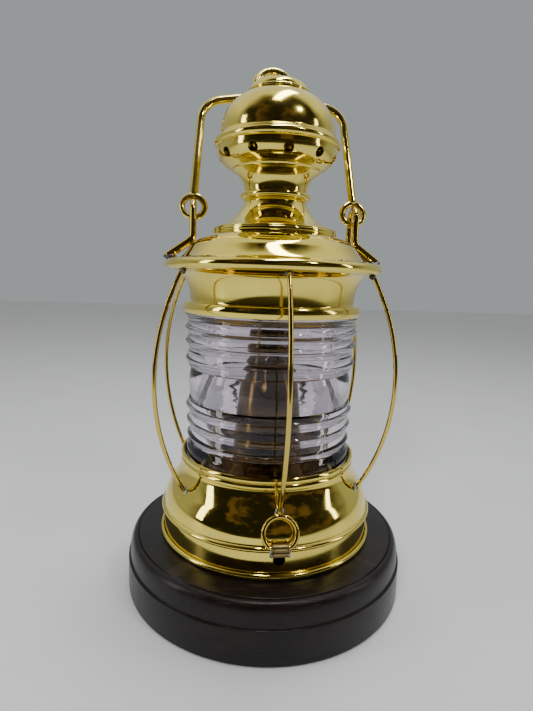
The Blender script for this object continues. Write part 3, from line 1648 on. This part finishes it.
@dataclass
class LashingRing(Maker):
    """The D-shaped ring on the front and the folded strap that holds it."""

    wire: float = 1.75 * MM
    ring_r: float = 12 * MM
    lean: float = 18.0
    strap_w: float = 11.8 * MM
    strap_t: float = 1.2 * MM

    def build(self) -> None:
        """Makes the ring and the strap."""
        pin = joint_place("ring_swing")
        half = self.ring_r * 0.64
        dip = math.sqrt(self.ring_r**2 - half**2)
        gap = math.degrees(math.asin(half / self.ring_r))
        loop = arc((0, dip), self.ring_r, gap - 90 + 4, 270 - gap - 4, 72)
        bar = np.linspace((-half + 1.2 * MM, 0), (half - 1.2 * MM, 0), 14)
        flat = even(joined(loop, bar, loop[:1]), 0.7 * MM)[:-1]
        a = math.radians(self.lean)
        up, out = np.array([0, math.sin(a), math.cos(a)]), np.array([1.0, 0, 0])
        path = pin + flat[:, :1] * out + flat[:, 1:] * up
        ring = swept("ring_wire", path, self.wire, closed=True, sides=24)
        self.place(ring, Finish.WIRE, "lashing_ring", "lashing_ring")
        self.strap(pin)

    def strap(self, pin: np.ndarray) -> None:
        """A strip folded round the ring's bar, with its tail flat on the skirt.

        Its section runs round the bar at the bar's radius plus the strip's, then down.

        Args:
            pin: Middle of the ring's bar.
        """
        r = self.wire + 0.05 * MM + self.strap_t
        tail_y = r - self.strap_t - 2.4 * MM
        outer = joined(
            arc((0, 0), r, -15, 205, 26),
            bend((-r, -0.8 * MM), (-r, -r * 0.9), (tail_y - 0.3 * MM, -r - 1.2 * MM), 8),
            [(tail_y, -7 * MM)],
        )
        section = joined(outer, (outer + self.strap_t * left_of(outer))[::-1])
        x = np.linspace(-self.strap_w / 2, self.strap_w / 2, 9)
        spread = np.broadcast_arrays(x[None], section[:, :1], section[:, 1:])
        grid = np.stack([v + at for v, at in zip(spread, pin)], 2)
        faces = grid_faces(len(section), len(x), True, False)
        n, m = len(outer), len(x)
        i = np.arange(n - 1)
        mate = 2 * n - 1 - i
        left = np.stack([i * m, (i + 1) * m, (mate - 1) * m, mate * m], 1)
        right = left[:, ::-1] + m - 1
        strip = to_object("ring_strap_strip", grid.reshape(-1, 3), np.vstack([faces, left, right]))
        self.place(strip, Finish.DULL, "lantern", "ring_strap")
        places = np.array([
            pin + (s * self.strap_w * 0.5, tail_y + 1.2 * MM, z)
            for s in (-1, 1) for z in (-5.6 * MM, -2.9 * MM)
        ])
        drops = lump("strap_solder", places, (1.5 * MM, 1.6 * MM, 1.9 * MM), 0.2)
        self.place(drops, Finish.SOLDER, "lantern")


@dataclass
class Burner(Maker):
    """The oil fount and burner behind the glass."""

    body: str = "lantern"
    sheet: float = 0.9 * MM

    def build(self) -> None:
        """Makes the spun pieces and dresses the rest."""
        low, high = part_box("burner_bell")
        r, z0, h = high.x, low.z, high.z - low.z
        tube_low, tube_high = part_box("flame_tube")
        neck = r * 0.64
        bell = joined(
            bend((r + 1.6 * MM, z0), (r, z0 + 0.2 * MM), (r, z0 + 2 * MM), 5),
            bend((r, z0 + 2 * MM), (r - 0.5 * MM, z0 + h * 0.75), (r * 0.84, z0 + h * 0.9), 30),
            bend((r * 0.84, z0 + h * 0.9), (r * 0.80, z0 + h * 0.94), (neck, z0 + h), 8),
        )
        self.place(turned("bell_sheet", wall(bell, self.sheet)), Finish.BURNER, self.body, "burner_bell")
        t0, th = tube_low.z, tube_high.z - tube_low.z
        belly = (neck + 2.6 * MM, t0 + th * 0.3)
        sides = joined(
            bend((neck, t0), (neck + 3.6 * MM, t0 + th * 0.12), belly, 16),
            bend(belly, (neck + 1.2 * MM, t0 + th * 0.6), (neck - 1.3 * MM, tube_high.z), 16),
        )
        self.place(turned("tube_sheet", wall(sides, self.sheet)), Finish.BURNER, self.body, "flame_tube")
        self.keep(Finish.DULL, "wick_tube", "wick_shaft")
        self.keep(Finish.BURNER, "fount", "filler_cap", "burner_seat", "wick_knob")
        self.keep(Finish.WICK, "wick")


# ---------------------------------------------------------------------------
# Studio
# ---------------------------------------------------------------------------


@dataclass
class Studio:
    """Pale floor, soft light and the camera."""

    turn: float = -7.5
    pitch: float = 9.05
    roll: float = 1.886
    yaw: float = -0.428
    distance: float = 0.400
    height: float = 0.257
    film: float = 36.0
    lens: float = 24.303797
    lit_to: float = 0.72

    def build(self) -> None:
        """Makes everything that isn't the lantern."""
        self.floor()
        self.world()
        self.lights()
        self.camera()

    def floor(self) -> None:
        """A wide flat sheet under the lantern, pale to the camera.

        Rays that the camera doesn't send find it dark beyond lit_to in front of the lantern, which
        gives the brass something dark to mirror.
        """
        s = 4.0
        verts = np.array([(-s, -s, 0), (s, -s, 0), (s, s, 0), (-s, s, 0)], float)
        floor = to_object("floor", verts, np.array([[0, 1, 2, 3]]))
        material, net, shader = fresh("pale floor")
        place = net.add("ShaderNodeTexCoord").outputs["Object"]
        tone = net.mix(net.noise(place, 9.0, 4.0), (0.62, 0.63, 0.645, 1.0), (0.70, 0.71, 0.73, 1.0))
        ahead = net.blend(net.axes(place)["Y"], -1.0, net.noise(place, 6.0, 2.0), 0.08)
        unseen = net.math("SUBTRACT", 1.0, net.add("ShaderNodeLightPath").outputs["Is Camera Ray"])
        unlit = net.math("MULTIPLY", net.ramp(ahead, self.lit_to, self.lit_to + 0.16), unseen)
        net.put(shader.inputs["Base Color"], net.mix(unlit, tone, (0.030, 0.026, 0.020, 1.0)))
        shader.inputs["Roughness"].default_value = 0.6
        floor.data.materials.append(material)

    def world(self) -> None:
        """The camera sees plain grey; all else sees a room.

        The room is pale behind with a lighter ceiling, and dark towards the front with warm patches.
        """
        world = bpy.data.worlds.new("studio")
        world.use_nodes = True
        bpy.context.scene.world = world
        net = Net(world.node_tree)
        shade = world.node_tree.nodes["Background"]
        place = net.add("ShaderNodeTexCoord").outputs["Generated"]
        parts = net.axes(place)
        wander = net.math("MULTIPLY", net.math("SUBTRACT", net.noise(place, 2.2, 2.0), 0.5), 0.5)
        front = net.math("ADD", net.math("MULTIPLY", parts["Y"], -1.0), wander)
        dark = net.ramp(front, -0.16, 0.26)
        warm = net.ramp(net.noise(place, 3.1, 3.0, 0.6), 0.50, 0.66)
        black, brown = (0.016, 0.015, 0.011, 1.0), (0.15, 0.10, 0.06, 1.0)
        shade_side = net.mix(net.math("MULTIPLY", warm, 0.8), black, brown)
        up = net.ramp(parts["Z"], 0.35, 0.75)
        back = net.mix(up, (0.38, 0.40, 0.41, 1.0), (0.86, 0.86, 0.84, 1.0))
        room = net.mix(dark, back, shade_side)
        seen = net.add("ShaderNodeLightPath").outputs["Is Camera Ray"]
        net.put(shade.inputs["Color"], net.mix(seen, room, (0.33, 0.35, 0.355, 1.0)))
        shade.inputs["Strength"].default_value = 1.0

    def panel(
        self,
        name: str,
        place: Vector,
        aim: Vector,
        size: tuple[float, float],
        power: float,
        mirrored: bool = True,
    ) -> None:
        """One soft panel light.

        Args:
            name: Name of the light.
            place: Where it stands.
            aim: What it points at.
            size: Width and height.
            power: Watts.
            mirrored: True if the panel shows in polished metal.
        """
        light = bpy.data.lights.new(name, "AREA")
        light.shape = "RECTANGLE"
        light.size, light.size_y = size
        light.energy = power
        obj = bpy.data.objects.new(name, light)
        obj.location = place
        obj.visible_glossy = mirrored
        obj.rotation_euler = (aim - place).to_track_quat("-Z", "Y").to_euler()
        bpy.context.scene.collection.objects.link(obj)

    def lights(self) -> None:
        """A key at the left front that metal doesn't mirror, tall windows, a strip and a lamp."""
        aim = Vector((0, 0, 0.22))
        self.panel("key", Vector((-0.55, -1.05, 1.15)), aim, (0.30, 0.30), 9.0, mirrored=False)
        self.panel("left window", Vector((-1.35, -0.30, 0.62)), aim, (0.22, 0.95), 4.0)
        self.panel("right window", Vector((1.30, -0.42, 0.62)), aim, (0.12, 0.80), 2.4)
        self.panel("overhead", Vector((0.10, -0.05, 1.55)), aim, (0.95, 0.22), 12.0)
        self.panel("lamp", Vector((0.62, -0.70, 1.25)), aim, (0.10, 0.10), 2.5)

    def camera(self) -> None:
        """The camera: close by, looking slightly down, a little to the left of the front."""
        pitch, roll, yaw = (math.radians(v) for v in (self.pitch, self.roll, self.yaw))
        flat = math.cos(pitch)
        ahead = Vector((math.sin(yaw) * flat, math.cos(yaw) * flat, -math.sin(pitch)))
        level = Vector((math.cos(yaw), -math.sin(yaw), 0.0))
        plumb = level.cross(ahead)
        right = math.cos(roll) * level + math.sin(roll) * plumb
        up = -math.sin(roll) * level + math.cos(roll) * plumb
        place = Vector((0.0, -self.distance, self.height))
        pose = Matrix.Identity(4)
        for column, axis in enumerate((right, up, -ahead, place)):
            for row in range(3):
                pose[row][column] = axis[row]
        data = bpy.data.cameras.new("camera")
        data.sensor_width = self.film
        data.lens = self.lens
        data.clip_start = 0.01
        camera = bpy.data.objects.new("camera", data)
        camera.matrix_world = Matrix.Rotation(math.radians(self.turn), 4, "Z") @ pose
        bpy.context.scene.collection.objects.link(camera)
        bpy.context.scene.camera = camera


def main() -> None:
    """Builds the lantern's sub-assemblies in order, then the studio."""
    logging.basicConfig(level=logging.INFO, format="%(name)s: %(message)s")
    palette = finishes()
    for kind in (Plinth, Base, Glass, Neck, Chimney, Wires, Bail, LashingRing, Burner):
        maker = kind(palette)
        maker.build()
        LOG.info("%s: %d pieces", kind.__name__, len(maker.made))
    Studio().build()


if __name__ == "__main__":
    main()
